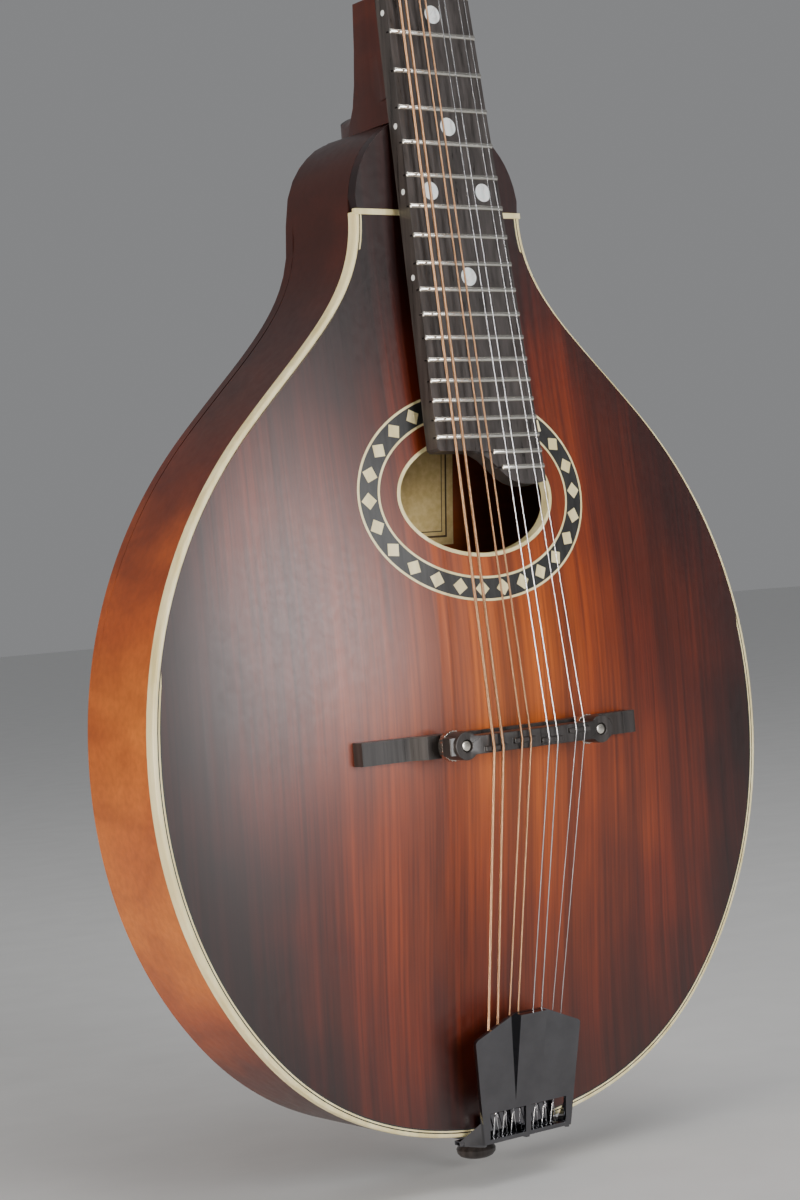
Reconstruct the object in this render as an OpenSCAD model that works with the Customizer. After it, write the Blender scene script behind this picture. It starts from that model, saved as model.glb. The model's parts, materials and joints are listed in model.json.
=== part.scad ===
// A-style mandolin: carved top and back, oval soundhole, eight strings in four courses.
// X runs to the treble side, Z up along the body and neck, and -Y out of the front.
// Body pieces are placed by their height "n" in front of the rim plane (n = -Y) and by
// their distance below the nut; neck pieces are placed in the tilted fingerboard's frame.

/* [Body] */
// Half of the body's greatest width
body_half_w = 127.1; // [118:0.1:136]
// Depth of the rim from the top edge to the back edge
rim_depth = 41; // [36:0.5:48]
// Thickness of the top and back plates
plate_t = 4.2; // [3.4:0.1:5]
// Thickness of the bent sides
rib_t = 2.4; // [2:0.1:3]
// Rise of the arched top above the rim plane
top_rise = 14; // [10:0.5:17]
// Rise of the arched back
back_rise = 13; // [9:0.5:16]

/* [Scale and neck] */
// String length from the nut to the saddle, before compensation
scale_len = 352.4; // [345:0.1:356]
// Tilt of the fingerboard plane against the rim plane
neck_angle = 5.41; // [4.5:0.01:6]
// Width of the fingerboard at the nut
nut_w = 29.1; // [27:0.1:31]
// Width of the fingerboard at the last fret
board_end_w = 43.7; // [42:0.1:45]
// Thickness of the fingerboard
board_t = 6; // [5:0.1:6.5]
// Backward tilt of the headstock
head_angle = 13; // [10:0.5:15]

/* [Soundhole] */
// Half width of the hole, outside its binding
hole_a = 32.6; // [30:0.1:34]
// Distance of the hole's centre below the nut
hole_z = 271.5; // [270:0.1:273]
// Number of diamonds in the rosette
diamonds = 26; // [20:1:30]

/* [Bridge] */
// Half length of the bridge base
base_half_l = 58; // [54:0.5:62]
// Half distance between the two bridge posts
post_x = 28.4; // [27:0.1:30]
// Height of the saddle's crest in front of the rim plane
crest_n = 31; // [30.5:0.1:31.5]

/* [Tuning machines] */
// Teeth on each tuner gear
teeth = 15; // [14:1:16]
// Distance between neighbouring string posts
post_pitch = 23.5; // [23:0.1:24]

/* [Hidden] */
$fn = 48;

maple = [0.42, 0.16, 0.06];
spruce = [0.5, 0.2, 0.08];
inner_wood = [0.72, 0.58, 0.4];
ivoroid = [0.93, 0.88, 0.7];
ebony = [0.07, 0.06, 0.06];
bone = [0.93, 0.9, 0.8];
pearl = [0.85, 0.87, 0.85];
chrome = [0.75, 0.76, 0.78];
nickel = [0.7, 0.69, 0.66];
steel = [0.66, 0.67, 0.68];
bronze = [0.78, 0.5, 0.3];

// The hanger's yoke holds the neck just behind the nut, and the frame's origin is there.
yoke_y = 16;
yoke_z = 4;

// Points along the body's right half, from the tail to the shoulder, as smooth curves.
tail_z = -484.7;
wide_z = -352.5;
strip_z = -176;
strip_w = 2;
strip_half_l = 35;
shoulder_z = -146;
shoulder_half_w = 17;
waist_half_w = 34.6;
corner = [92.4, -447.2];
corner_dir = [cos(48.8), sin(48.8)];
bout = [82.3, -244.4];
bout_dir = [cos(134.5), sin(134.5)];
tail_curve = [[0, tail_z], [39.8, tail_z], corner - 32.7 * corner_dir, corner];
side_curve = [corner, corner + 35.3 * corner_dir, [body_half_w, wide_z - 35.3], [body_half_w, wide_z]];
bout_curve = [[body_half_w, wide_z], [body_half_w, wide_z + 56.6], bout - 23.3 * bout_dir, bout];
waist_curve = [bout, bout + 39.9 * bout_dir, [waist_half_w, strip_z - 26.8], [waist_half_w, strip_z]];
shoulder_curve = [[waist_half_w, strip_z], [waist_half_w - 0.6, -160], [27, -152], [shoulder_half_w, shoulder_z]];
curves = [tail_curve, side_curve, bout_curve, waist_curve, shoulder_curve];
curve_steps = 10;

binding_w = 1.41;
purfling_w = 1.4;
purfling_depth = 1.5;
lining_w = 5;
lining_h = 8;
block_z = -188;
tail_block_half_w = 30;
tail_block_t = 16;
end_hole_r = 4;
screw_x = 10;
inlay_depth = 1.2;
ring_shift = 11.9;
label_w = 60;
label_h = 46;
label_t = 0.3;
label_bottom_z = -286;
arch_z = -330;
arch_a = 127;
arch_b = 153;

// Fingerboard, neck and headstock.
fret_count = 24;
head_t = 14.5;
overlay_t = 1.8;
nut_t = 4.6;
rod_y = 12.6;
rod_r = 2.5;
post_side_x = 21;
first_post_z = 31;
plate_thin = 1.2;
gear_t = 2.4;
gear_gap = 2.1;
tooth_module = 0.7;
gear_r = tooth_module * teeth / 2;
worm_r = 2.4;
worm_lead = PI * tooth_module;
worm_z = gear_r + worm_r;
post_r = 2.95;
gear_y = overlay_t + head_t + plate_thin + gear_gap;
gear_mid_y = gear_y + gear_t / 2;
button_x = 47;

// Strings: distance from the centre line at the nut, saddle and tail, and radius.
string_r = [0.52, 0.52, 0.34, 0.34, 0.2, 0.2, 0.14, 0.14];
nut_x = [-11.3, -9.3, -4.4, -2.4, 2.4, 4.4, 9.3, 11.3];
saddle_x = [-19.5, -15.8, -7.6, -3.9, 3.9, 7.6, 15.8, 19.5];
hook_x = [-14.2, -10.4, -6.6, -2.9, 2.9, 6.6, 10.4, 14.2];
// Each course's break point on the stepped crest, above or below the saddle's middle
crest_z = [-1.6, -1.6, -0.2, -0.2, -1.2, -1.2, 0.8, 0.8];
saddle_z = -352.4;
hook_z = -480.5;
hook_n = 4.5;

// Bridge.
base_top_n = 18.2;
base_thick = 7.6;
wheel_n = 20;
wheel_t = 2.4;
wheel_r = 5.1;
saddle_bottom_n = wheel_n + wheel_t;
saddle_thick = 6;
bridge_post_r = 1.95;
run_gap = 0.06;

// A string post's place on the headstock, by its number: 1 to 4 up the bass side, then
// 5 to 8 up the treble side.
function post_pos(i) = [(i < 5 ? -1 : 1) * post_side_x, first_post_z + post_pitch * ((i - 1) % 4)];
function fret_s(k) = scale_len * (1 - pow(2, -k / 12));
function board_w(s) = nut_w + (board_end_w - nut_w) * s / fret_s(fret_count);
function bezier(p, t) =
  pow(1 - t, 3) * p[0] + 3 * pow(1 - t, 2) * t * p[1] + 3 * (1 - t) * t * t * p[2] + pow(t, 3) * p[3];
function slope(p, t) =
  pow(1 - t, 2) * (p[1] - p[0]) + 2 * (1 - t) * t * (p[2] - p[1]) + t * t * (p[3] - p[2]);
// A point of a curve, moved to its left by d
function inset_point(p, t, d) =
  let (v = slope(p, t), u = v / norm(v)) bezier(p, t) + d * [-u[1], u[0]];
function half_outline(d) = concat(
  [for (c = curves, i = [0 : curve_steps - 1]) inset_point(c, i / curve_steps, d)],
  [[shoulder_half_w - d / 2, shoulder_z - d]]
);
function mirrored(p) = [for (i = [len(p) - 1 : -1 : 0]) [-p[i][0], p[i][1]]];
function without_first(p) = [for (i = [0 : len(p) - 2]) p[i]];
// The carved surface's height over the rim plane, by distance from the middle (1 = edge)
function bell(t) = (1 + cos(180 * min(t, 1))) / 2;
function arch_n(x, z) = top_rise * bell(norm([x / arch_a, (z - arch_z) / arch_b]));

// Moves a body-frame shape so that the frame's origin is in the hanger's yoke.
module placed() {
  translate([0, -yoke_y, -yoke_z]) children();
}

// The fingerboard's frame: Z along the strings towards the head, Y into the wood.
module board_frame() {
  placed() translate([0, 7, 0]) rotate([-neck_angle, 0, 0]) children();
}

// The headstock's frame: Z up its face, Y into the wood.
module head_frame() {
  board_frame() translate([0, 3.4, nut_t]) rotate([-head_angle, 0, 0]) children();
}

module outline(d) {
  right = half_outline(d);
  polygon(concat(right, without_first(mirrored(right))));
}

// A flat shape in the plane of the top, from height n0 to n1 in front of the rim plane.
module slab(n0, n1) {
  translate([0, -n0, 0]) rotate([90, 0, 0]) linear_extrude(height = n1 - n0) children();
}

module below(z) {
  translate([-200, z - 400]) square([400, 400]);
}

module above(z) {
  translate([-200, z]) square([400, 400]);
}

// An arched layer: everything from lo to hi over the carved surface.
module arched(rise, lo, hi) {
  steps = 14;
  reach = 1.3;
  upper = [for (i = [0 : steps]) [reach * i / steps, hi + rise * bell(reach * i / steps)]];
  lower = [for (i = [steps : -1 : 0]) [reach * i / steps, lo + rise * bell(reach * i / steps)]];
  translate([0, 0, arch_z])
    scale([arch_a, 1, arch_b]) rotate([90, 0, 0]) rotate_extrude($fn = 96) polygon(concat(upper, lower));
}

module oval(a) {
  translate([0, -hole_z]) scale([a, a - ring_shift]) circle(r = 1, $fn = 72);
}

module oval_ring(a_out, a_in) {
  difference() {
    oval(a_out);
    oval(a_in);
  }
}

// A swept tube with flat sides through the given points.
module tube(points, r, sides) {
  last = len(points) - 1;
  function along(i) = points[min(i + 1, last)] - points[max(i - 1, 0)];
  function ring(i) =
    let (d = along(i) / norm(along(i)), u = cross(d, [1, 0, 0]), a = u / norm(u), b = cross(d, a))
    [for (k = [0 : sides - 1]) points[i] + r * (cos(360 * k / sides) * a + sin(360 * k / sides) * b)];
  verts = [for (i = [0 : last]) each ring(i)];
  walls = [for (i = [0 : last - 1], k = [0 : sides - 1])
    let (n = (k + 1) % sides) [i * sides + k, (i + 1) * sides + k, (i + 1) * sides + n, i * sides + n]];
  start_cap = [[for (k = [0 : sides - 1]) k]];
  end_cap = [[for (k = [sides - 1 : -1 : 0]) last * sides + k]];
  polyhedron(points = verts, faces = concat(start_cap, walls, end_cap));
}

// ---- Sound box ----

module top_plate() {
  color(spruce) placed() difference() {
    intersection() {
      arched(top_rise, -plate_t, 0);
      slab(-20, 40) {
        intersection() {
          outline(binding_w + purfling_w);
          below(strip_z);
        }
        intersection() {
          outline(0);
          above(strip_z);
        }
      }
    }
    slab(-20, 40) oval(hole_a);
    intersection() {
      slab(-20, 40) oval_ring(hole_a + 14.7, hole_a + 6.4);
      arched(top_rise, -inlay_depth, 3);
    }
    translate([-60, -3, strip_z - strip_w / 2]) cube([120, 3 + purfling_depth, strip_w]);
  }
}

module back_plate() {
  color(maple) placed() intersection() {
    translate([0, rim_depth, 0]) mirror([0, 1, 0]) arched(back_rise, -plate_t, 0);
    slab(-rim_depth - 30, 0) outline(0);
  }
}

module rib_wall(n0, n1, d0, d1) {
  slab(n0, n1) difference() {
    outline(d0);
    outline(d1);
  }
}

module ribs() {
  color(maple) placed() difference() {
    rib_wall(plate_t - rim_depth, -plate_t, 0, rib_t);
    slab(-rim_depth, 0) dovetail();
    end_pin_axis(end_hole_r, 60);
    tailpiece_screw_holes();
  }
}

module block_gap() {
  above(block_z);
  translate([-tail_block_half_w, tail_z]) square([2 * tail_block_half_w, rib_t + tail_block_t]);
}

module top_lining() {
  color(inner_wood) placed() slab(-plate_t - lining_h, -plate_t) difference() {
    outline(rib_t);
    outline(rib_t + lining_w);
    block_gap();
  }
}

module back_lining() {
  color(inner_wood) placed() slab(plate_t - rim_depth, plate_t - rim_depth + lining_h) difference() {
    outline(rib_t);
    outline(rib_t + lining_w);
    block_gap();
  }
}

// The dovetail that the neck's heel glides into.
module dovetail() {
  polygon([[-9, shoulder_z + 3], [9, shoulder_z + 3], [11.5, -168], [-11.5, -168]]);
}

module head_block() {
  color(inner_wood) placed() slab(plate_t - rim_depth, -plate_t) difference() {
    intersection() {
      outline(rib_t);
      above(block_z);
    }
    dovetail();
  }
}

module end_pin_axis(r, h) {
  translate([0, 21, tail_z - 14]) cylinder(r = r, h = h);
}

module tailpiece_screw_holes() {
  for (x = [-screw_x, screw_x]) translate([x, 10, -500]) cylinder(r = 1.4, h = 40);
}

module tail_block() {
  color(inner_wood) placed() difference() {
    slab(plate_t - rim_depth, -plate_t) intersection() {
      outline(rib_t);
      translate([-tail_block_half_w, tail_z]) square([2 * tail_block_half_w, rib_t + tail_block_t]);
    }
    end_pin_axis(end_hole_r, 60);
    tailpiece_screw_holes();
  }
}

module top_binding() {
  color(ivoroid) placed() {
    slab(-plate_t, 0) difference() {
      outline(0);
      outline(binding_w);
      above(strip_z - strip_w / 2);
    }
    translate([-strip_half_l, -0.3, strip_z - strip_w / 2])
      cube([2 * strip_half_l, 0.3 + purfling_depth, strip_w]);
  }
}

module top_purfling() {
  color(ebony) placed() slab(-plate_t, 0) difference() {
    outline(binding_w);
    outline(binding_w + purfling_w);
    above(strip_z - strip_w / 2);
  }
}

module soundhole_binding() {
  color(ivoroid) placed() intersection() {
    arched(top_rise, -plate_t, 0.2);
    slab(-20, 40) oval_ring(hole_a, hole_a - 1.4);
  }
}

module inlay() {
  intersection() {
    arched(top_rise, -inlay_depth, 0);
    slab(-20, 40) children();
  }
}

module diamond_shapes() {
  a = hole_a + 10.6;
  b = a - ring_shift;
  squash = (a * a - b * b) / (a * a + b * b) / 4;
  for (i = [0 : diamonds - 1]) {
    s = 360 * (i + 0.5) / diamonds + 90;
    t = s + squash * sin(2 * s) * 180 / PI;
    heading = atan2(b * cos(t), -a * sin(t));
    translate([a * cos(t), b * sin(t) - hole_z]) rotate(heading) circle(r = 2.8, $fn = 4);
  }
}

module rosette_band() {
  color(ebony) placed() inlay() difference() {
    oval_ring(hole_a + 13.9, hole_a + 7.2);
    diamond_shapes();
  }
}

module rosette_lines() {
  color(ivoroid) placed() {
    inlay() oval_ring(hole_a + 14.7, hole_a + 13.9);
    inlay() oval_ring(hole_a + 7.2, hole_a + 6.4);
  }
}

module rosette_diamonds() {
  color(ivoroid) placed() inlay() diamond_shapes();
}

// One bar across the inside of the top, below the soundhole.
module top_brace() {
  color(inner_wood) placed() difference() {
    translate([-98, -12, -318]) cube([196, 24, 7]);
    arched(top_rise, -plate_t - 0.06, 30);
  }
}

// A paper label glued inside the back, behind the soundhole.
module label() {
  color([0.75, 0.62, 0.38]) placed() intersection() {
    translate([0, rim_depth, 0]) mirror([0, 1, 0]) arched(back_rise, -plate_t - label_t, -plate_t);
    slab(-rim_depth - 30, 0) translate([-label_w / 2, label_bottom_z]) square([label_w, label_h]);
  }
}

// ---- Neck ----

// A neck section: flat under the fingerboard, round behind.
module neck_section(s, depth) {
  w = board_w(s) / 2;
  translate([0, board_t, -s]) scale([w, depth, 1]) intersection() {
    cylinder(r = 1, h = 0.5, $fn = 32);
    translate([-1, 0, 0]) cube([2, 1, 1]);
  }
}

// The heel: a trumpet shape round an axis through the body's end, narrowed by a deep oval.
heel_center_z = shoulder_z - 4;
heel_bottom = 2.5 - rim_depth;
heel_profile = [
  [0, heel_bottom], [14.5, heel_bottom], [14.8, -34], [15.6, -30], [17.5, -26], [20.5, -23], [26, -20.6],
  [36, -18.6], [50, -17], [50, -2.6], [0, 1.4]
];

module heel_oval(h) {
  translate([0, 2, heel_center_z + 4]) scale([17.6, 44, 1]) cylinder(r = 1, h = h, $fn = 64);
}

module heel() {
  intersection() {
    translate([0, 0, heel_center_z]) rotate([90, 0, 0]) rotate_extrude($fn = 64) polygon(heel_profile);
    heel_oval(60);
    translate([-30, 0, shoulder_z]) cube([60, 60, 60]);
  }
}

module heel_cap() {
  color(ebony) placed() intersection() {
    translate([0, rim_depth - 0.4, heel_center_z]) rotate([90, 0, 0]) cylinder(r = 14.5, h = 2.1);
    heel_oval(60);
    translate([-30, 0, shoulder_z]) cube([60, 60, 60]);
  }
}

module headstock_outline() {
  side = [
    [nut_w / 2, 0], [nut_w / 2 + 1, 8], [31, 12], [36, 22]
  ];
  tip = [[32.5, 122], [32, 136], [20, 134], [0, 131]];
  right = concat([for (i = [0 : 8]) bezier(side, i / 8)], [for (i = [0 : 8]) bezier(tip, i / 8)]);
  polygon(concat(right, [for (i = [len(right) - 2 : -1 : 0]) [-right[i][0], right[i][1]]]));
}

// A flat shape in the headstock's plane, from depth y0 to y1.
module head_slab(y0, y1) {
  translate([0, y1, 0]) rotate([90, 0, 0]) linear_extrude(height = y1 - y0) children();
}

// The room above the neck's wood for the fingerboard and the nut.
module board_room() {
  translate([-40, -30, -300]) cube([80, 30 + board_t, 300 + nut_t]);
}

module rod_pocket() {
  translate([-5, -5, nut_t + 1.5]) cube([10, rod_y + 9, 20]);
}

module neck() {
  color(maple) {
    difference() {
      union() {
        board_frame() hull() {
          neck_section(0.5, 12.6);
          neck_section(138, 14.6);
        }
        board_frame() translate([-14.5, board_t, -4]) cube([29, 10.5, 8.6]);
        placed() heel();
        board_frame() hull() {
          translate([-11, board_t, -238]) cube([22, 0.9, 1]);
          translate([-11, board_t, -136]) cube([22, 0.7, 1]);
        }
        placed() slab(plate_t - rim_depth + 0.1, -plate_t) offset(delta = -0.05) dovetail();
        head_frame() difference() {
          head_slab(overlay_t, overlay_t + head_t) headstock_outline();
          for (i = [1 : 8]) translate([post_pos(i)[0], -5, post_pos(i)[1]]) rotate([-90, 0, 0])
            cylinder(r = post_r + 0.9, h = 40);
        }
      }
      board_frame() translate([-rod_r - 0.1, board_t - 1, -142]) cube([2 * rod_r + 0.2, rod_y + rod_r - 4.9, 150]);
      board_frame() rod_pocket();
      board_frame() board_room();
      head_frame() for (side = [-1, 1], z = screw_zs())
        translate([side * post_side_x, overlay_t + head_t - 8, z]) rotate([-90, 0, 0]) cylinder(r = 1, h = 10);
    }
  }
}

module truss_rod() {
  color(steel) board_frame() {
    translate([0, rod_y, -140]) cylinder(r = rod_r, h = 160);
  }
}

module truss_rod_nut() {
  color(steel) board_frame() translate([0, rod_y, 11]) difference() {
    cylinder(r = 3.7, h = 6, $fn = 6);
    translate([0, 0, -1]) cylinder(r = rod_r + run_gap, h = 8);
  }
}

module truss_rod_cover() {
  color(ebony) head_frame() difference() {
    head_slab(-1.6, 0) {
      curve = [[11, 2], [11, 14], [5, 17], [3.5, 24]];
      right = concat([for (i = [0 : 8]) bezier(curve, i / 8)], [[2, 26.5], [0, 27]]);
      polygon(concat(right, [for (i = [len(right) - 2 : -1 : 0]) [-right[i][0], right[i][1]]]));
    }
    for (p = [[-8, 5], [8, 5], [0, 23]]) translate([p[0], -3, p[1]]) rotate([-90, 0, 0]) cylinder(r = 0.9, h = 5);
  }
}

// ---- Fingerboard ----

// The board's free end: short on the bass side, drawn out to a tongue on the treble side.
module board_outline() {
  end_s = 258;
  tongue_s = 271;
  bass = board_w(end_s) / 2;
  dip = [[-bass + 1, -end_s], [-8, -end_s - 1], [-6, -end_s + 2], [2, -end_s - 6]];
  rise = [[2, -end_s - 6], [8, -tongue_s], [14, -tongue_s], [bass + 0.4, -tongue_s + 1.5]];
  polygon(concat(
    [[-nut_w / 2, 0], [-bass, -end_s + 1]],
    [for (i = [0 : 6]) bezier(dip, i / 6)],
    [for (i = [1 : 6]) bezier(rise, i / 6)],
    [[nut_w / 2, 0]]
  ));
}

// A flat shape in the fingerboard's plane, from depth y0 to y1.
module board_slab(y0, y1) {
  translate([0, y1, 0]) rotate([90, 0, 0]) linear_extrude(height = y1 - y0) children();
}

dot_r = 3.1;
dot_x = 1.2;
function mid_fret(k) = (fret_s(k - 1) + fret_s(k)) / 2;
function dots() = concat(
  [for (k = [5, 7, 10, 15]) [dot_x, mid_fret(k)]],
  [for (side = [-1, 1]) [dot_x + 11 * side, mid_fret(12)]]
);

module dot_shapes(y0, y1) {
  for (p = dots()) translate([p[0], y0, -p[1]]) rotate([-90, 0, 0]) cylinder(r = dot_r, h = y1 - y0);
}

module side_dot_shapes(extra) {
  for (k = [5, 7, 10, 12, 15]) {
    s = mid_fret(k);
    translate([-board_w(s) / 2 - extra, 2.6, -s]) rotate([0, 90, 0]) cylinder(r = 1, h = 1.6 + extra);
  }
}

module fret_slot(k, depth, crown) {
  s = fret_s(k);
  half = board_w(s) / 2;
  from = k > 22 ? (k == 23 ? 1 : 4) : -half;
  translate([from, -crown, -s - 0.9]) cube([half - from, crown, 1.8]);
  translate([from, -0.01, -s - 0.3]) cube([half - from, depth, 0.6]);
}

module fingerboard() {
  color(ebony) board_frame() difference() {
    board_slab(0, board_t) board_outline();
    for (k = [1 : fret_count]) translate([-40, -1, -fret_s(k) - 0.3]) cube([80, 2.6, 0.6]);
    dot_shapes(-1, 1.5);
    side_dot_shapes(1);
  }
}

module frets() {
  color(nickel) board_frame() intersection() {
    for (k = [1 : fret_count]) fret_slot(k, 1.6, 0.95);
    board_slab(-2, 3) board_outline();
  }
}

module position_dots() {
  color(pearl) board_frame() dot_shapes(0, 1.5);
}

module side_dots() {
  color(pearl) board_frame() side_dot_shapes(0);
}

module nut() {
  color(bone) board_frame() difference() {
    translate([-nut_w / 2, -1.6, 0.02]) cube([nut_w, board_t + 1.6, nut_t - 0.04]);
    for (i = [0 : 7]) translate([nut_x[i] - string_r[i] - 0.1, -3, -1]) cube([2 * string_r[i] + 0.2, 1.95, 8]);
  }
}

module headstock_overlay() {
  color(ebony) difference() {
    head_frame() head_slab(0, overlay_t) headstock_outline();
    head_frame() for (i = [1 : 8]) translate([post_pos(i)[0], -5, post_pos(i)[1]]) rotate([-90, 0, 0])
      cylinder(r = post_r + 0.9, h = 20);
    board_frame() rod_pocket();
    board_frame() board_room();
  }
}

// ---- Bridge ----

module base_front() {
  steps = 12;
  under = [for (i = [-steps : steps])
    let (x = base_half_l * i / steps, lift = abs(x) < 15 ? 2.6 : 0.06)
      [x, arch_n(x, saddle_z + base_thick / 2) + lift]];
  over = [
    [base_half_l, 12.6], [40, 13.6], [36, base_top_n],
    [-36, base_top_n], [-40, 13.6], [-base_half_l, 12.6]
  ];
  polygon(concat(under, over));
}

// A shape drawn across the body (x, n) and given a thickness along Z.
module cross_slab(z0, z1) {
  translate([0, 0, z0]) linear_extrude(height = z1 - z0) mirror([0, 1]) children();
}

module bridge_base() {
  color(ebony) placed() difference() {
    cross_slab(saddle_z - base_thick / 2, saddle_z + base_thick / 2) base_front();
    for (x = [-post_x, post_x]) translate([x, -30, saddle_z]) rotate([-90, 0, 0])
      cylinder(r = bridge_post_r + 0.03, h = 16);
  }
}

module bridge_posts() {
  color(nickel) placed() for (x = [-post_x, post_x]) translate([x, -crest_n + 2, saddle_z])
    rotate([-90, 0, 0]) cylinder(r = bridge_post_r, h = crest_n - 2 - 14);
}

module saddle_front() {
  polygon([
    [-34, saddle_bottom_n + 1], [-33, saddle_bottom_n], [33, saddle_bottom_n], [34, saddle_bottom_n + 1],
    [34, 27.5], [30, 28.6], [23, crest_n - 1], [-23, crest_n - 1], [-30, 28.6], [-34, 27.5]
  ]);
}

module bridge_saddle() {
  color(ebony) placed() difference() {
    union() {
      cross_slab(saddle_z - saddle_thick / 2, saddle_z + saddle_thick / 2) saddle_front();
      for (x = [-post_x, post_x]) translate([x, -29.2, saddle_z]) rotate([-90, 0, 0])
        cylinder(r = 4.6, h = 29.2 - saddle_bottom_n);
      for (c = [0 : 3]) {
        mid = (saddle_x[2 * c] + saddle_x[2 * c + 1]) / 2;
        translate([mid - 4.5, -crest_n, saddle_z + crest_z[2 * c] - 0.8]) cube([9, 1.2, 1.6]);
      }
    }
    for (x = [-post_x, post_x]) translate([x, -40, saddle_z]) rotate([-90, 0, 0])
      cylinder(r = bridge_post_r + run_gap, h = 40);
  }
}

module thumbwheel(x) {
  notches = 24;
  color(nickel) placed() translate([x, -wheel_n, saddle_z]) rotate([90, 0, 0]) difference() {
    linear_extrude(height = wheel_t - 0.05) polygon([
      for (i = [0 : 2 * notches - 1]) (wheel_r - (i % 2) * 0.35) * [cos(180 * i / notches), sin(180 * i / notches)]
    ]);
    translate([0, 0, -1]) cylinder(r = bridge_post_r + run_gap, h = 6);
  }
}

// ---- Strings ----

function to_body(p) = [p[0], 7 + p[1] * cos(neck_angle) + p[2] * sin(neck_angle),
                       -p[1] * sin(neck_angle) + p[2] * cos(neck_angle)];
function head_to_board(p) = [p[0], 3.4 + p[1] * cos(head_angle) + p[2] * sin(head_angle),
                             nut_t - p[1] * sin(head_angle) + p[2] * cos(head_angle)];
// The post that each string winds on: G and D up the bass side, E and A up the treble
string_post = [1, 2, 3, 4, 8, 7, 6, 5];
wind_y = -5.4;

function string_path(i) =
  let (
    r = string_r[i],
    post = post_pos(string_post[i]),
    side = i < 4 ? 1 : -1,
    crest = [saddle_x[i], -(crest_n + r + 0.08), saddle_z + crest_z[i]],
    hook = [hook_x[i], -hook_n, hook_z],
    at_nut = to_body([nut_x[i], -1.05 - r - 0.02, nut_t / 2]),
    past_nut = to_body([nut_x[i], -1.07 - r, nut_t + 0.1]),
    at_post = to_body(head_to_board([post[0] + side * (post_r + r + 0.12), wind_y, post[1] - 1]))
  )
  [hook, hook + (crest - hook) * 0.5, crest, crest + (at_nut - crest) * 0.5, at_nut, past_nut, at_post];

module winding(i) {
  post = post_pos(string_post[i]);
  r = string_r[i];
  head_frame() translate([post[0], wind_y - 3 * r, post[1]]) rotate([-90, 0, 0]) difference() {
    cylinder(r = post_r + 0.1 + 2 * r, h = 6 * r);
    translate([0, 0, -1]) cylinder(r = post_r + 0.1, h = 10);
  }
}

module course(first) {
  for (i = [first, first + 1]) {
    placed() tube(string_path(i), string_r[i], 8);
    winding(i);
  }
}

module strings_g() {
  color(bronze) course(0);
}

module strings_d() {
  color(bronze) course(2);
}

module strings_a() {
  color(steel) course(4);
}

module strings_e() {
  color(steel) course(6);
}

// ---- Tailpiece ----

module tail_plan() {
  right = [[18.5, -485.5], [22.4, -450.5], [21.6, -449.6], [6, -443]];
  polygon(concat(right, mirrored(right)));
}

// The tailpiece's plate leans from its front lip down to the tail.
module tail_plane() {
  translate([0, -8.6, -485.5]) rotate([atan(5.2 / 40), 0, 0]) translate([0, 0, 485.5]) children();
}

// The plate's raised middle: as wide all along, and highest at the front lip.
module tail_rib() {
  rotate([90, 0, 90]) linear_extrude(height = 11, center = true)
    polygon([[0.6, -443.1], [-2.7, -443.1], [0.1, -474], [0.6, -474]]);
}

// A side cheek that flares from the plate's edge down to the rim.
module tail_cheek() {
  translate([-18.4, -7.6, 0]) rotate([0, 0, 24])
    translate([0, 0, -486.3]) rotate([90, 0, 90]) linear_extrude(height = 1.4)
      polygon([[-0.4, 0], [9, 0], [9, 1.4], [-0.4, 8.5]]);
}

module tailpiece() {
  window = [1.1, 15.2, -484.1, -475.2];
  color(chrome) placed() {
    difference() {
      union() {
        tail_plane() slab(-1.3, 0) difference() {
          tail_plan();
          for (side = [0, 1]) mirror([side, 0])
            translate([window[0], window[2]]) square([window[1], window[3] - window[2]]);
        }
        tail_plane() tail_rib();
        for (side = [0, 1]) mirror([side, 0, 0]) tail_cheek();
        translate([-21.5, -1, -486.3]) cube([43, 5, 1.4]);
        translate([-15.6, -3.2, -486.3]) cube([31.2, 33, 1.3]);
        translate([-15.4, -3.3, -486.2]) cube([30.8, 1.3, 9]);
        for (x = hook_x) translate([x - 0.7, -6.4, -485.6]) cube([1.4, 4, 1.3]);
        translate([-0.7, -8.2, -486.2]) cube([1.4, 6, 4]);
      }
      end_pin_axis(end_hole_r + 0.2, 30);
      tailpiece_screw_holes();
    }
  }
}

module tailpiece_screws() {
  color(chrome) placed() for (x = [-screw_x, screw_x]) translate([x, 10, tail_z - 3.2]) {
    cylinder(r = 2.6, h = 1.6);
    cylinder(r = 1.35, h = 16);
  }
}

module end_pin() {
  color(ebony) placed() translate([0, 21, tail_z]) rotate_extrude() polygon([
    [0, -12], [5, -12], [6.6, -10.6], [6.8, -9], [5, -7.2], [4.2, -5], [5.4, -1.8], [3.9, -1.7], [3.8, 16], [0, 16]
  ]);
}

// ---- Tuning machines ----

module tuner_plate(side) {
  mid_z = first_post_z + 1.5 * post_pitch;
  color(chrome) head_frame() difference() {
    union() {
      translate([side * post_side_x - 8.5, overlay_t + head_t, mid_z - 50]) cube([17, plate_thin, 100]);
      for (k = [0 : 3], x = [-6.2, 4.8]) {
        z = first_post_z + k * post_pitch + worm_z;
        translate([side * post_side_x + x, overlay_t + head_t + 0.6, z - 3]) cube([1.4, 6.4, 6]);
      }
    }
    for (k = [0 : 3]) {
      z = first_post_z + k * post_pitch;
      translate([side * post_side_x, 0, z]) rotate([-90, 0, 0]) cylinder(r = post_r + 0.06, h = 40);
      translate([side * post_side_x - 12, gear_mid_y, z + worm_z]) rotate([0, 90, 0]) cylinder(r = 1.56, h = 24);
    }
    for (z = screw_zs()) translate([side * post_side_x, 0, z]) rotate([-90, 0, 0]) cylinder(r = 1, h = 40);
  }
}

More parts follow.
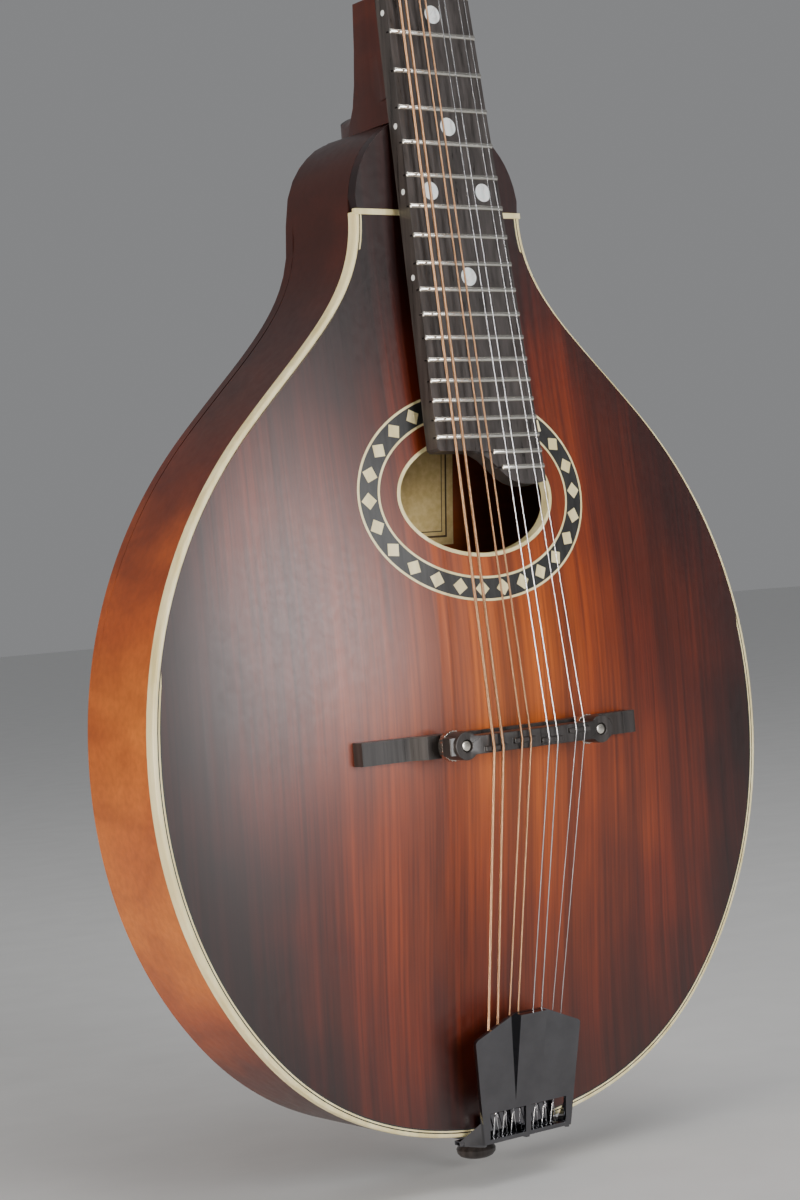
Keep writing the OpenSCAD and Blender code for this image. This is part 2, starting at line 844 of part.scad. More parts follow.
function screw_zs() = [
  first_post_z - 9, first_post_z + post_pitch / 2 + 4.6, first_post_z + 1.5 * post_pitch + 4.6,
  first_post_z + 2.5 * post_pitch + 4.6, first_post_z + 3 * post_pitch + 13.6
];

module tuner_plate_bass() {
  tuner_plate(-1);
}

module tuner_plate_treble() {
  tuner_plate(1);
}

module tuner_screws() {
  color(chrome) head_frame() for (side = [-1, 1], z = screw_zs()) {
    y = overlay_t + head_t + plate_thin;
    translate([side * post_side_x, y, z]) rotate([-90, 0, 0]) cylinder(r = 1.9, h = 0.9);
    translate([side * post_side_x, y - 8, z]) rotate([-90, 0, 0]) cylinder(r = 0.95, h = 8.1);
  }
}

module post_bushings() {
  color(nickel) head_frame() for (i = [1 : 8]) {
    translate([post_pos(i)[0], -0.9, post_pos(i)[1]]) rotate([-90, 0, 0]) difference() {
      union() {
        cylinder(r = 4.6, h = 0.9);
        cylinder(r = post_r + 0.85, h = 8);
      }
      translate([0, 0, -1]) cylinder(r = post_r + 0.06, h = 20);
    }
  }
}

module gear() {
  tip = gear_r + 0.55;
  root = gear_r - 0.85;
  linear_extrude(height = gear_t) polygon([
    for (i = [0 : teeth - 1], q = [[-0.24, 0], [-0.16, 1], [0.16, 1], [0.24, 0]])
      let (a = 360 * (i + q[0] + 0.5) / teeth, r = q[1] == 1 ? tip : root) r * [cos(a), sin(a)]
  ]);
}

module tuner_post(i) {
  p = post_pos(i);
  color(nickel) head_frame() translate([p[0], 0, p[1]]) rotate([-90, 0, 0]) {
    difference() {
      translate([0, 0, -11]) cylinder(r = post_r, h = 11 + gear_y + 0.1);
      translate([0, 0, -8.5]) rotate([90, 0, 0]) cylinder(r = 0.8, h = 20, center = true);
    }
    translate([0, 0, gear_y]) rotate(-90) gear();
    translate([0, 0, gear_y + gear_t]) cylinder(r = 2.6, h = 1.1);
  }
}

// A helical thread of flat facets, as wide at its root as the gear's gaps allow.
module worm_thread(turns, steps) {
  r0 = 1.4;
  r1 = worm_r + 0.6;
  n = turns * steps;
  profile = [[r0, -0.6], [r1, -0.22], [r1, 0.22], [r0, 0.6]];
  verts = [for (i = [0 : n], q = profile)
    let (a = 360 * i / steps) [q[0] * cos(a), q[0] * sin(a), worm_lead * (i / steps - turns / 2) + q[1]]];
  walls = [for (i = [0 : n - 1], k = [0 : 3]) each
    let (m = (k + 1) % 4, a = 4 * i + k, b = 4 * i + m, c = 4 * (i + 1) + m, d = 4 * (i + 1) + k)
    [[a, b, c], [a, c, d]]];
  polyhedron(points = verts, faces = concat([[3, 2, 1, 0]], walls, [[for (k = [0 : 3]) 4 * n + k]]));
}

module tuner_key(i) {
  p = post_pos(i);
  side = i < 5 ? -1 : 1;
  head_frame() translate([p[0], gear_mid_y, p[1] + worm_z]) rotate([0, 90 * side, 0]) {
    color(nickel) {
      translate([0, 0, -7.2]) cylinder(r = 1.5, h = 7.2 + button_x - post_side_x - 3);
      rotate(90 - 90 * side) intersection() {
        worm_thread(4, 14);
        translate([0, 0, -3.4]) cylinder(r = 4, h = 6.8, $fn = 12);
      }
    }
    color(ivoroid) translate([0, 0, button_x - post_side_x - 9]) rotate([0, 90, 0]) hull() {
      for (reach = [0, 10]) translate([-reach, 0, -4.5]) cylinder(r = 2.6, h = 9, $fn = 20);
    }
  }
}

top_plate();
back_plate();
ribs();
head_block();
tail_block();
top_lining();
back_lining();
top_binding();
top_purfling();
soundhole_binding();
rosette_band();
rosette_lines();
rosette_diamonds();
top_brace();
label();
neck();
heel_cap();
truss_rod();
truss_rod_nut();
truss_rod_cover();
fingerboard();
frets();
position_dots();
side_dots();
nut();
headstock_overlay();
bridge_base();
bridge_saddle();
bridge_posts();
thumbwheel(-post_x);  // thumbwheel_bass
thumbwheel(post_x);  // thumbwheel_treble
strings_g();
strings_d();
strings_a();
strings_e();
tailpiece();
tailpiece_screws();
end_pin();
tuner_plate_bass();
tuner_plate_treble();
tuner_screws();
post_bushings();
for (i = [1 : 8]) {
  tuner_post(i);
  tuner_key(i);
}
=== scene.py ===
"""Looks of an A-style mandolin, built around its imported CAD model. Lengths are in metres."""
import json
import math

import bmesh
import bpy
from mathutils import Matrix, Vector

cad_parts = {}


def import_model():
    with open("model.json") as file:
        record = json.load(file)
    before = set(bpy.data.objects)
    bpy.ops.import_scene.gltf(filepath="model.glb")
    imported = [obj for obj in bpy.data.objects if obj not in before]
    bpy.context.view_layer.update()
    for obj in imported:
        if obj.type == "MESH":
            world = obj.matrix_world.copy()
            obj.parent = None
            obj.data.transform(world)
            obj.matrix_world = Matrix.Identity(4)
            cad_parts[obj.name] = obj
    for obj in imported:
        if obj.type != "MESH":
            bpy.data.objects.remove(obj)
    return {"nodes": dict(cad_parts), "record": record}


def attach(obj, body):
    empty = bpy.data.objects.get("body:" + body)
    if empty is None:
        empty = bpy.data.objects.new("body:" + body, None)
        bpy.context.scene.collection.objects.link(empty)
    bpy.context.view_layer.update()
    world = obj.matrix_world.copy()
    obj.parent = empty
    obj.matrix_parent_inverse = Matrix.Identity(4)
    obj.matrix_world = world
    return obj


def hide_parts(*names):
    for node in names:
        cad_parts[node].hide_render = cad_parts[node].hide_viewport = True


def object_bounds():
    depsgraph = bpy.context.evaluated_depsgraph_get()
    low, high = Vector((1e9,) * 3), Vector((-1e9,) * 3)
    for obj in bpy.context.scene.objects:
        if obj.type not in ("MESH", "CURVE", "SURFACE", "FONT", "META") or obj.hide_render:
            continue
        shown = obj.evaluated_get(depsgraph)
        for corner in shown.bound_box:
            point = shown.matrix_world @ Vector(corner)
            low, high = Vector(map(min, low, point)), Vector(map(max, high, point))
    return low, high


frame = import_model()
cad_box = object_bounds()

MM = 0.001
ROOT = "instrument"
LATHE_SIDES = 48

# ---------------------------------------------------------------- shape of the instrument

YOKE_Y = 16.0
YOKE_Z = 4.0
NECK_ANGLE = math.radians(5.41)
HEAD_ANGLE = math.radians(13.0)
SCALE = 352.4
NUT_W = 29.1
END_W = 43.7
NUT_T = 4.6
RIM = 41.0
PLATE = 4.2
TOP_RISE = 14.0
BACK_RISE = 13.0
ARCH = (127.0, 153.0, -330.0)
HOLE_A = 32.6
HOLE_Z = -271.5
RING_SHIFT = 11.9
STRIP_Z = -176.0
SHOULDER_Z = -146.0
BINDING_W = 1.41
SADDLE_Z = -352.4
CREST_N = 31.0
POST_X = 28.4


def body(x, n, z):
    """A point at height n in front of the rim plane, z above the nut."""
    return Vector((x, -n - YOKE_Y, z - YOKE_Z)) * MM


def board(x, y, z):
    """A point in the fingerboard's frame: z towards the head, y into the wood."""
    c, s = math.cos(NECK_ANGLE), math.sin(NECK_ANGLE)
    return Vector((x, 7 + y * c + z * s - YOKE_Y, -y * s + z * c - YOKE_Z)) * MM


def head(x, y, z):
    """A point in the headstock's frame: z up its face, y into the wood."""
    c, s = math.cos(HEAD_ANGLE), math.sin(HEAD_ANGLE)
    return board(x, 3.4 + y * c + z * s, NUT_T - y * s + z * c)


def bell(t):
    return (1 + math.cos(math.pi * min(t, 1))) / 2


def arch_n(x, z, rise=TOP_RISE):
    return rise * bell(math.hypot(x / ARCH[0], (z - ARCH[2]) / ARCH[1]))


def bezier(p, t):
    k = ((1 - t) ** 3, 3 * (1 - t) ** 2 * t, 3 * (1 - t) * t * t, t ** 3)
    return tuple(sum(k[i] * p[i][a] for i in range(4)) for a in range(2))


def along(point, angle, reach):
    return (point[0] + reach * math.cos(angle), point[1] + reach * math.sin(angle))


CORNER = (92.4, -447.2)
CORNER_DIR = math.radians(48.8)
BOUT = (82.3, -244.4)
BOUT_DIR = math.radians(134.5)
TAIL_Z = -484.7
WIDE = (127.1, -352.5)
WAIST = (34.6, STRIP_Z)
CURVES = [
    [(0, TAIL_Z), (39.8, TAIL_Z), along(CORNER, CORNER_DIR, -32.7), CORNER],
    [CORNER, along(CORNER, CORNER_DIR, 35.3), (WIDE[0], WIDE[1] - 35.3), WIDE],
    [WIDE, (WIDE[0], WIDE[1] + 56.6), along(BOUT, BOUT_DIR, -23.3), BOUT],
    [BOUT, along(BOUT, BOUT_DIR, 39.9), (WAIST[0], STRIP_Z - 26.8), WAIST],
    [WAIST, (34.0, -160), (27, -152), (17, SHOULDER_Z)],
]


def half_outline(steps, curves=CURVES):
    points = [bezier(c, i / steps) for c in curves for i in range(steps)]
    return points + [curves[-1][3]]


def inset(points, d, closed=False):
    """Points moved to their left by d, along the curve's own normals."""
    out = []
    last = len(points) - 1
    for i, p in enumerate(points):
        a = points[(i - 1) % len(points)] if closed or i > 0 else p
        b = points[(i + 1) % len(points)] if closed or i < last else p
        dx, dz = b[0] - a[0], b[1] - a[1]
        size = math.hypot(dx, dz) or 1
        out.append((p[0] - d * dz / size, p[1] + d * dx / size))
    return out


def mirror_join(right):
    """A whole outline, counter-clockwise, from its right half."""
    return right + [(-x, z) for x, z in reversed(right) if x > 1e-6]


def bound_edge(steps=24):
    """The bound part of the edge: from the strip's left end round the tail to its right."""
    right = half_outline(steps, CURVES[:4])
    left = [(-x, z) for x, z in reversed(right) if x > 1e-6]
    return left + right


FULL = mirror_join(half_outline(24))


def fret_s(k):
    return SCALE * (1 - 2 ** (-k / 12))


def board_w(s):
    return NUT_W + (END_W - NUT_W) * s / fret_s(24)


def post_pos(i):
    return ((-1 if i < 5 else 1) * 21.0, 31 + 23.5 * ((i - 1) % 4))


# ---------------------------------------------------------------- materials


class Graph:
    """A short way to write a material's nodes."""

    def __init__(self, name):
        self.mat = bpy.data.materials.new(name)
        self.mat.use_nodes = True
        self.tree = self.mat.node_tree
        self.shader = self.tree.nodes["Principled BSDF"]
        self.place = self.tree.nodes.new("ShaderNodeTexCoord").outputs["Object"]

    def put(self, socket, value):
        if isinstance(value, bpy.types.NodeSocket):
            self.tree.links.new(value, socket)
        elif value is not None:
            socket.default_value = value

    def node(self, kind, **inputs):
        n = self.tree.nodes.new(kind)
        for key, value in inputs.items():
            self.put(n.inputs[key.replace("_", " ")], value)
        return n

    def stretch(self, scale, source=None):
        n = self.tree.nodes.new("ShaderNodeMapping")
        self.put(n.inputs["Vector"], source or self.place)
        n.inputs["Scale"].default_value = scale
        return n.outputs["Vector"]

    def noise(self, scale, stretch=(1, 1, 1), detail=4.0, rough=0.55, distort=0.0, source=None):
        n = self.node("ShaderNodeTexNoise", Scale=scale, Detail=detail, Roughness=rough, Distortion=distort)
        self.put(n.inputs["Vector"], self.stretch(stretch, source))
        return n.outputs["Fac"]

    def math(self, op, a, b=0.0, clamp=False):
        n = self.tree.nodes.new("ShaderNodeMath")
        n.operation = op
        n.use_clamp = clamp
        self.put(n.inputs[0], a)
        self.put(n.inputs[1], b)
        return n.outputs[0]

    def remap(self, value, lo, hi, out_lo, out_hi):
        n = self.tree.nodes.new("ShaderNodeMapRange")
        self.put(n.inputs["Value"], value)
        for key, v in (("From Min", lo), ("From Max", hi), ("To Min", out_lo), ("To Max", out_hi)):
            n.inputs[key].default_value = v
        return n.outputs["Result"]

    def ramp(self, value, stops):
        n = self.tree.nodes.new("ShaderNodeValToRGB")
        self.put(n.inputs["Fac"], value)
        band = n.color_ramp
        while len(band.elements) < len(stops):
            band.elements.new(0.5)
        for e, (at, colour) in zip(band.elements, stops):
            e.position = at
            e.color = (*colour, 1)
        return n.outputs["Color"]

    def mix(self, kind, factor, a, b):
        n = self.tree.nodes.new("ShaderNodeMix")
        n.data_type = "RGBA"
        n.blend_type = kind
        self.put(n.inputs["Factor"], factor)
        self.put(n.inputs["A"], a if isinstance(a, bpy.types.NodeSocket) else (*a, 1))
        self.put(n.inputs["B"], b if isinstance(b, bpy.types.NodeSocket) else (*b, 1))
        return n.outputs["Result"]

    def axes(self):
        n = self.tree.nodes.new("ShaderNodeSeparateXYZ")
        self.put(n.inputs["Vector"], self.place)
        return n.outputs["X"], n.outputs["Y"], n.outputs["Z"]

    def bump(self, height, strength, distance=0.0002):
        n = self.node("ShaderNodeBump", Height=height, Strength=strength, Distance=distance)
        self.put(self.shader.inputs["Normal"], n.outputs["Normal"])

    def finish(self, colour=None, rough=None, **sockets):
        self.put(self.shader.inputs["Base Color"], colour)
        self.put(self.shader.inputs["Roughness"], rough)
        for key, value in sockets.items():
            self.put(self.shader.inputs[key.replace("_", " ")], value)
        return self.mat


def oval_distance(g, half_x, half_z, centre_z):
    """0 at the oval's centre and 1 on its edge, in the plane of the top."""
    x, _, z = g.axes()
    across = g.math("DIVIDE", x, half_x)
    up = g.math("DIVIDE", g.math("SUBTRACT", z, centre_z), half_z)
    return g.math("SQRT", g.math("ADD", g.math("MULTIPLY", across, across), g.math("MULTIPLY", up, up)))


def spruce_top():
    g = Graph("spruce_sunburst")
    far = oval_distance(g, 0.132, 0.165, -0.352)
    cloud = g.noise(14, (1, 1, 0.6), detail=3)
    far = g.math("ADD", far, g.remap(cloud, 0.3, 0.7, -0.16, 0.2))
    burst = g.ramp(far, [
        (0.0, (0.56, 0.125, 0.008)), (0.35, (0.34, 0.055, 0.004)), (0.62, (0.15, 0.017, 0.002)),
        (0.86, (0.048, 0.005, 0.002)), (1.0, (0.022, 0.003, 0.002)),
    ])
    rings = g.noise(260, (1, 0.02, 0.018), detail=2, rough=0.6)
    fine = g.noise(900, (1, 0.05, 0.02), detail=3)
    streak = g.noise(45, (1, 0.1, 0.06), detail=3)
    wood = g.mix("MULTIPLY", 0.75, burst, g.ramp(rings, [(0.38, (0.6, 0.52, 0.48)), (0.58, (1, 1, 1))]))
    wood = g.mix("MULTIPLY", 0.8, wood, g.ramp(fine, [(0.34, (0.55, 0.5, 0.46)), (0.62, (1, 1, 1))]))
    wood = g.mix("MULTIPLY", 0.65, wood, g.ramp(streak, [(0.38, (0.36, 0.3, 0.28)), (0.56, (1, 1, 1))]))
    g.bump(g.math("ADD", rings, g.math("MULTIPLY", fine, 0.5)), 0.12)
    rough = g.remap(g.noise(420, detail=3), 0.3, 0.7, 0.34, 0.42)
    return g.finish(wood, rough, Specular_IOR_Level=0.45, Coat_Weight=0.35, Coat_Roughness=0.3)


def stained_maple(name, neck=False):
    """The sides and back, dark towards the shoulders, with painted shade darkening them towards the tail; the
    neck is dark all along.
    """
    g = Graph(name)
    z = g.axes()[2]
    fall = g.remap(z, -0.3, 0.0, 0.8, 0.9) if neck else g.remap(z, -0.33, -0.22, 0.0, 1.0)
    cloud = g.noise(11, (1, 1, 1), detail=3)
    shade = g.math("ADD", fall, g.remap(cloud, 0.3, 0.7, -0.25, 0.25))
    # Painted shade: the lowest part of the sides and back goes dark towards the tail, standing in for the
    # shade where little light reaches from below.
    low = g.remap(z, -0.475, -0.41, 0.95, 0.0)
    shade = g.math("ADD", shade, low, clamp=True)
    base = g.ramp(shade, [
        (0.0, (0.56, 0.150, 0.014)), (0.3, (0.36, 0.070, 0.008)), (0.62, (0.11, 0.016, 0.004)),
        (1.0, (0.040, 0.007, 0.003)),
    ])
    flame = g.noise(60, (1, 1, 2.2) if neck else (0.35, 0.35, 1.0), detail=2, distort=0.8)
    grain = g.noise(500, (1, 1, 0.03) if neck else (0.06, 1.0, 0.9), detail=3)
    wood = g.mix("MULTIPLY", 0.5, base, g.ramp(flame, [(0.35, (0.55, 0.45, 0.4)), (0.62, (1, 1, 1))]))
    wood = g.mix("MULTIPLY", 0.45, wood, g.ramp(grain, [(0.35, (0.6, 0.55, 0.5)), (0.65, (1, 1, 1))]))
    g.bump(grain, 0.08)
    rough = g.remap(g.noise(300, detail=3), 0.3, 0.7, 0.34, 0.42)
    return g.finish(wood, rough, Specular_IOR_Level=0.45, Coat_Weight=0.2, Coat_Roughness=0.28)


def plain_wood():
    g = Graph("plain_wood")
    grain = g.noise(380, (1, 1, 0.04), detail=4)
    wood = g.ramp(grain, [(0.3, (0.34, 0.2, 0.1)), (0.7, (0.62, 0.45, 0.27))])
    g.bump(grain, 0.2)
    return g.finish(wood, 0.7)


def ivoroid():
    g = Graph("ivoroid")
    grain = g.noise(240, (1, 1, 0.08), detail=3)
    cloud = g.noise(40, detail=3)
    tone = g.ramp(grain, [(0.3, (0.74, 0.62, 0.30)), (0.7, (0.92, 0.82, 0.50))])
    tone = g.mix("MULTIPLY", 0.4, tone, g.ramp(cloud, [(0.35, (0.75, 0.7, 0.6)), (0.65, (1, 1, 1))]))
    g.bump(g.noise(1500, detail=2), 0.03)
    rough = g.remap(cloud, 0.3, 0.7, 0.3, 0.42)
    return g.finish(tone, rough, Subsurface_Weight=0.08, Subsurface_Radius=(0.002, 0.001, 0.0005))


def black_inlay():
    g = Graph("black_inlay")
    grain = g.noise(700, (1, 1, 0.1), detail=3)
    g.bump(grain, 0.05)
    return g.finish(g.ramp(grain, [(0.3, (0.012, 0.012, 0.012)), (0.7, (0.03, 0.029, 0.028))]), 0.4)


def ebony(name="ebony", light=1.0):
    g = Graph(name)
    grain = g.noise(620, (1, 1, 0.035), detail=4, rough=0.65)
    streak = g.noise(70, (1, 1, 0.06), detail=3)
    tone = g.ramp(grain, [
        (0.3, (0.012 * light, 0.010 * light, 0.009 * light)),
        (0.62, (0.036 * light, 0.030 * light, 0.028 * light)),
    ])
    tone = g.mix("ADD", g.remap(streak, 0.5, 0.75, 0.0, 0.5), tone, (0.022, 0.012, 0.007))
    g.bump(grain, 0.15, 0.0001)
    return g.finish(tone, g.remap(grain, 0.3, 0.7, 0.26, 0.4), Specular_IOR_Level=0.55)


def metal(name, colour, rough, wear=0.06, stretch=(1, 1, 1)):
    g = Graph(name)
    smear = g.noise(130, stretch, detail=4)
    fine = g.noise(1800, stretch, detail=2)
    dark = tuple(c * 0.86 for c in colour)
    tone = g.ramp(smear, [(0.35, dark), (0.65, colour)])
    g.bump(fine, 0.02, 0.00005)
    return g.finish(tone, g.remap(smear, 0.3, 0.7, rough, rough + wear), Metallic=1.0)


def pearl():
    g = Graph("pearl")
    swirl = g.noise(170, detail=3, distort=2.2)
    tone = g.ramp(swirl, [
        (0.3, (0.58, 0.62, 0.60)), (0.45, (0.82, 0.80, 0.80)),
        (0.58, (0.68, 0.76, 0.75)), (0.7, (0.88, 0.87, 0.84)),
    ])
    g.bump(swirl, 0.02)
    return g.finish(tone, 0.22, Sheen_Weight=0.2, Coat_Weight=0.5, Coat_Roughness=0.12)


def bone():
    g = Graph("bone")
    pores = g.noise(900, (1, 1, 0.3), detail=3)
    tone = g.ramp(pores, [(0.32, (0.66, 0.58, 0.42)), (0.5, (0.8, 0.74, 0.6))])
    g.bump(pores, 0.05)
    return g.finish(tone, 0.35, Subsurface_Weight=0.1, Subsurface_Radius=(0.002, 0.0012, 0.0006))


def button():
    g = Graph("tuner_button")
    swirl = g.noise(120, detail=3, distort=1.5)
    tone = g.ramp(swirl, [(0.35, (0.62, 0.57, 0.44)), (0.65, (0.82, 0.78, 0.66))])
    g.bump(g.noise(900), 0.02)
    return g.finish(tone, 0.25, Coat_Weight=0.3, Coat_Roughness=0.15)


def wound(name, turns_per_m, colour, dark, rough):
    """A wrapped string: the wrap's ridges run round it, spaced along its length (the UV's V)."""
    g = Graph(name)
    uv = g.tree.nodes.new("ShaderNodeTexCoord").outputs["UV"]
    split = g.tree.nodes.new("ShaderNodeSeparateXYZ")
    g.put(split.inputs["Vector"], uv)
    turn = g.math("ADD", g.math("MULTIPLY", split.outputs["Y"], turns_per_m), split.outputs["X"])
    ridge = g.math("ABSOLUTE", g.math("SINE", g.math("MULTIPLY", turn, math.pi)))
    tarnish = g.noise(220, detail=3)
    # Painted shade: the grooves between the wraps are coloured dark, standing in for the shade that falls in
    # them.
    tone = g.ramp(ridge, [(0.05, dark), (0.55, colour)])
    tone = g.mix("MULTIPLY", 0.4, tone, g.ramp(tarnish, [(0.35, (0.7, 0.62, 0.55)), (0.65, (1, 1, 1))]))
    g.bump(ridge, 0.6, 0.0001)
    return g.finish(tone, rough, Metallic=1.0)


def paper():
    """A label with a printed double border and nothing written in it."""
    g = Graph("label_paper")
    x, _, z = g.axes()
    edge_x = g.math("SUBTRACT", 0.030, g.math("ABSOLUTE", x))
    edge_z = g.math("SUBTRACT", 0.023, g.math("ABSOLUTE", g.math("SUBTRACT", z, -0.267)))
    edge = g.math("MINIMUM", edge_x, edge_z)
    outer = g.math("COMPARE", edge, 0.0030)
    inner = g.math("COMPARE", edge, 0.0048)
    for line, half in ((outer, 0.00035), (inner, 0.00018)):
        line.node.inputs[2].default_value = half
    ink = g.math("MAXIMUM", outer, inner)
    fibre = g.noise(500, detail=5)
    stain = g.noise(60, detail=3)
    sheet = g.ramp(fibre, [(0.3, (0.72, 0.52, 0.20)), (0.7, (0.88, 0.68, 0.32))])
    sheet = g.mix("MULTIPLY", 0.5, sheet, g.ramp(stain, [(0.3, (0.8, 0.72, 0.6)), (0.7, (1, 1, 1))]))
    g.bump(fibre, 0.1)
    return g.finish(g.mix("MIX", ink, sheet, (0.09, 0.05, 0.02)), 0.85)


MAT = {
    "spruce_top": spruce_top(),
    "maple_stained": stained_maple("stained_maple_sides_painted_shade"),
    "neck_wood": stained_maple("stained_maple_neck", neck=True),
    "plain_wood": plain_wood(),
    "ivoroid": ivoroid(),
    "black_inlay": black_inlay(),
    "label_paper": paper(),
    "ebony": ebony(),
    "board_wood": ebony("fingerboard_wood", 1.5),
    "plain_steel": metal("plain_steel", (0.45, 0.45, 0.46), 0.32),
    "nickel": metal("nickel_silver", (0.66, 0.62, 0.55), 0.2),
    "fret_metal": metal("fret_metal", (0.78, 0.75, 0.68), 0.2, stretch=(0.1, 1, 1)),
    "pearl": pearl(),
    "bone": bone(),
    "bronze_string": wound("bronze_wrap", 2600, (0.72, 0.42, 0.24), (0.16, 0.07, 0.035), 0.3),
    "steel_string": metal("plain_string", (0.72, 0.72, 0.74), 0.2),
    # Painted reflection: the chrome's colour is set near black, standing in for a dark room mirrored in it;
    # bare chrome is much lighter.
    "chrome": metal("chrome", (0.15, 0.15, 0.16), 0.06, 0.05),
    "tuner_button": button(),
}


def dress(node, material):
    mesh = frame["nodes"][node].data
    mesh.materials.clear()
    mesh.materials.append(MAT[material])


LOOKS = {"neck": "neck_wood", "fingerboard": "board_wood", "frets": "fret_metal"}
for row in frame["record"]["subparts"]:
    dress(row["node"], LOOKS.get(row["node"], row["material_slot"]))


# ---------------------------------------------------------------- building pieces


def make(name, verts, faces, material, rides=ROOT, replaces=(), sharp=35, bevel=0.0, segments=2, uvs=None):
    """A piece from points and faces, smooth-shaded, with creases over `sharp` degrees."""
    mesh = bpy.data.meshes.new(name)
    mesh.from_pydata([tuple(v) for v in verts], [], faces)
    bm = bmesh.new()
    bm.from_mesh(mesh)
    bmesh.ops.recalc_face_normals(bm, faces=bm.faces)
    bm.to_mesh(mesh)
    bm.free()
    if uvs:
        layer = mesh.uv_layers.new(name="length")
        for loop in mesh.loops:
            layer.data[loop.index].uv = uvs[loop.vertex_index]
    mesh.polygons.foreach_set("use_smooth", [True] * len(mesh.polygons))
    mesh.set_sharp_from_angle(angle=math.radians(sharp))
    obj = bpy.data.objects.new(name, mesh)
    bpy.context.scene.collection.objects.link(obj)
    mesh.materials.append(MAT[material])
    if bevel:
        m = obj.modifiers.new("edges", "BEVEL")
        m.width = bevel * MM
        m.segments = segments
        m.limit_method = "ANGLE"
        m.angle_limit = math.radians(40)
        m.harden_normals = True
    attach(obj, rides)
    for node in replaces:
        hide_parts(node)
    return obj


def grid_faces(rows, cols, close_rows=False, close_cols=False):
    """Quads of a rows x cols grid of points, numbered row by row."""
    faces = []
    for r in range(rows if close_rows else rows - 1):
        for c in range(cols if close_cols else cols - 1):
            r2, c2 = (r + 1) % rows, (c + 1) % cols
            faces.append((r * cols + c, r * cols + c2, r2 * cols + c2, r2 * cols + c))
    return faces


def loft(rings, caps=True):
    """Verts and faces of a skin over closed rings of points."""
    verts = [p for ring in rings for p in ring]
    n = len(rings[0])
    faces = grid_faces(len(rings), n, close_cols=True)
    if caps:
        faces += [tuple(range(n)), tuple(range((len(rings) - 1) * n, len(rings) * n))]
    return verts, faces


def prism(points, place, lo, hi):
    """A flat outline given a thickness: place(x, z, depth) puts each point."""
    rings = [[place(x, z, d) for x, z in points] for d in (lo, hi)]
    return loft(rings)


def sweep(path, section, closed):
    """A constant section carried along an edge in the plane of the top.

    section is a ring of (inset, n): how far inside the edge, and how far in front of it."""
    rings = []
    shells = {d: inset(path, d, closed) for d, _ in section}
    for i in range(len(path)):
        rings.append([body(shells[d][i][0], n, shells[d][i][1]) for d, n in section])
    verts = [p for ring in rings for p in ring]
    faces = grid_faces(len(rings), len(section), close_rows=closed, close_cols=True)
    if not closed:
        k = len(section)
        faces += [tuple(range(k)), tuple(range((len(rings) - 1) * k, len(rings) * k))]
    return verts, faces


def tube(path, radius, sides):
    """Verts, faces and UVs (turn, metres along) of a round wire along a path."""
    n = len(path)
    verts, uvs = [], []
    normal = None
    run = 0.0
    for i, p in enumerate(path):
        d = (path[min(i + 1, n - 1)] - path[max(i - 1, 0)]).normalized()
        if normal is None:
            normal = d.orthogonal().normalized()
        normal = (normal - d * normal.dot(d)).normalized()
        side = d.cross(normal)
        if i:
            run += (p - path[i - 1]).length
        for k in range(sides):
            angle = 2 * math.pi * k / sides
            verts.append(p + (normal * math.cos(angle) + side * math.sin(angle)) * radius * MM)
            uvs.append((k / sides, run))
    faces = grid_faces(n, sides, close_cols=True)
    faces += [tuple(range(sides)), tuple(range((n - 1) * sides, n * sides))]
    return verts, faces, uvs


def join(parts):
    """One mesh's verts and faces out of several."""
    verts, faces = [], []
    for part in parts:
        v, f = part[0], part[1]
        faces += [tuple(i + len(verts) for i in face) for face in f]
        verts += v
    return verts, faces


def disc_ring(centre, axis, radii):
    """Rings round an axis: radii is a list of (distance along the axis, radius in mm)."""
    axis = axis.normalized()
    u = axis.orthogonal().normalized()
    v = axis.cross(u)
    turns = [2 * math.pi * k / LATHE_SIDES for k in range(LATHE_SIDES)]
    rings = []
    for at, r in radii:
        middle = centre + axis * at * MM
        rings.append([middle + (u * math.cos(a) + v * math.sin(a)) * r * MM for a in turns])
    return rings


# ---------------------------------------------------------------- sound box


def ray_to_outline(centre_z, angle, outline):
    """Where a ray from the middle meets an outline, as a distance."""
    dx, dz = math.cos(angle), math.sin(angle)
    best = 0.0
    for i in range(len(outline)):
        (ax, az), (bx, bz) = outline[i], outline[(i + 1) % len(outline)]
        ex, ez = bx - ax, bz - az
        det = ex * dz - ez * dx
        if abs(det) < 1e-12:
            continue
        t = (ex * (az - centre_z) - ez * ax) / det
        u = (dx * (az - centre_z) - dz * ax) / det
        if t > 0 and -1e-9 <= u <= 1 + 1e-9:
            best = max(best, t)
    return best


def plate(name, outline, centre_z, hole, rise, place_n, thick, material, node, turns=288, rows=44):
    """A carved plate: an outer and an inner skin between the hole (or the middle) and the edge."""
    edge = [ray_to_outline(centre_z, 2 * math.pi * k / turns, outline) for k in range(turns)]
    rings = []
    for side in (0, 1):
        sheet = []
        for r in range(rows + 1):
            t = r / rows
            ring = []
            for k in range(turns):
                angle = 2 * math.pi * k / turns
                start = hole(angle) if hole else 0.4
                reach = start + (edge[k] - start) * t
                x, z = reach * math.cos(angle), centre_z + reach * math.sin(angle)
                n = arch_n(x, z, rise) - side * thick
                ring.append(body(x, place_n(n), z))
            sheet.append(ring)
        rings += sheet if side == 0 else list(reversed(sheet))
    verts = [p for ring in rings for p in ring]
    faces = grid_faces(len(rings), turns, close_rows=bool(hole), close_cols=True)
    if not hole:
        faces += [tuple(range(turns)), tuple(range((len(rings) - 1) * turns, len(rings) * turns))]
    return make(name, verts, faces, material, replaces=[node])


def hole_reach(angle, a=HOLE_A, b=HOLE_A - RING_SHIFT):
    return a * b / math.hypot(b * math.cos(angle), a * math.sin(angle))


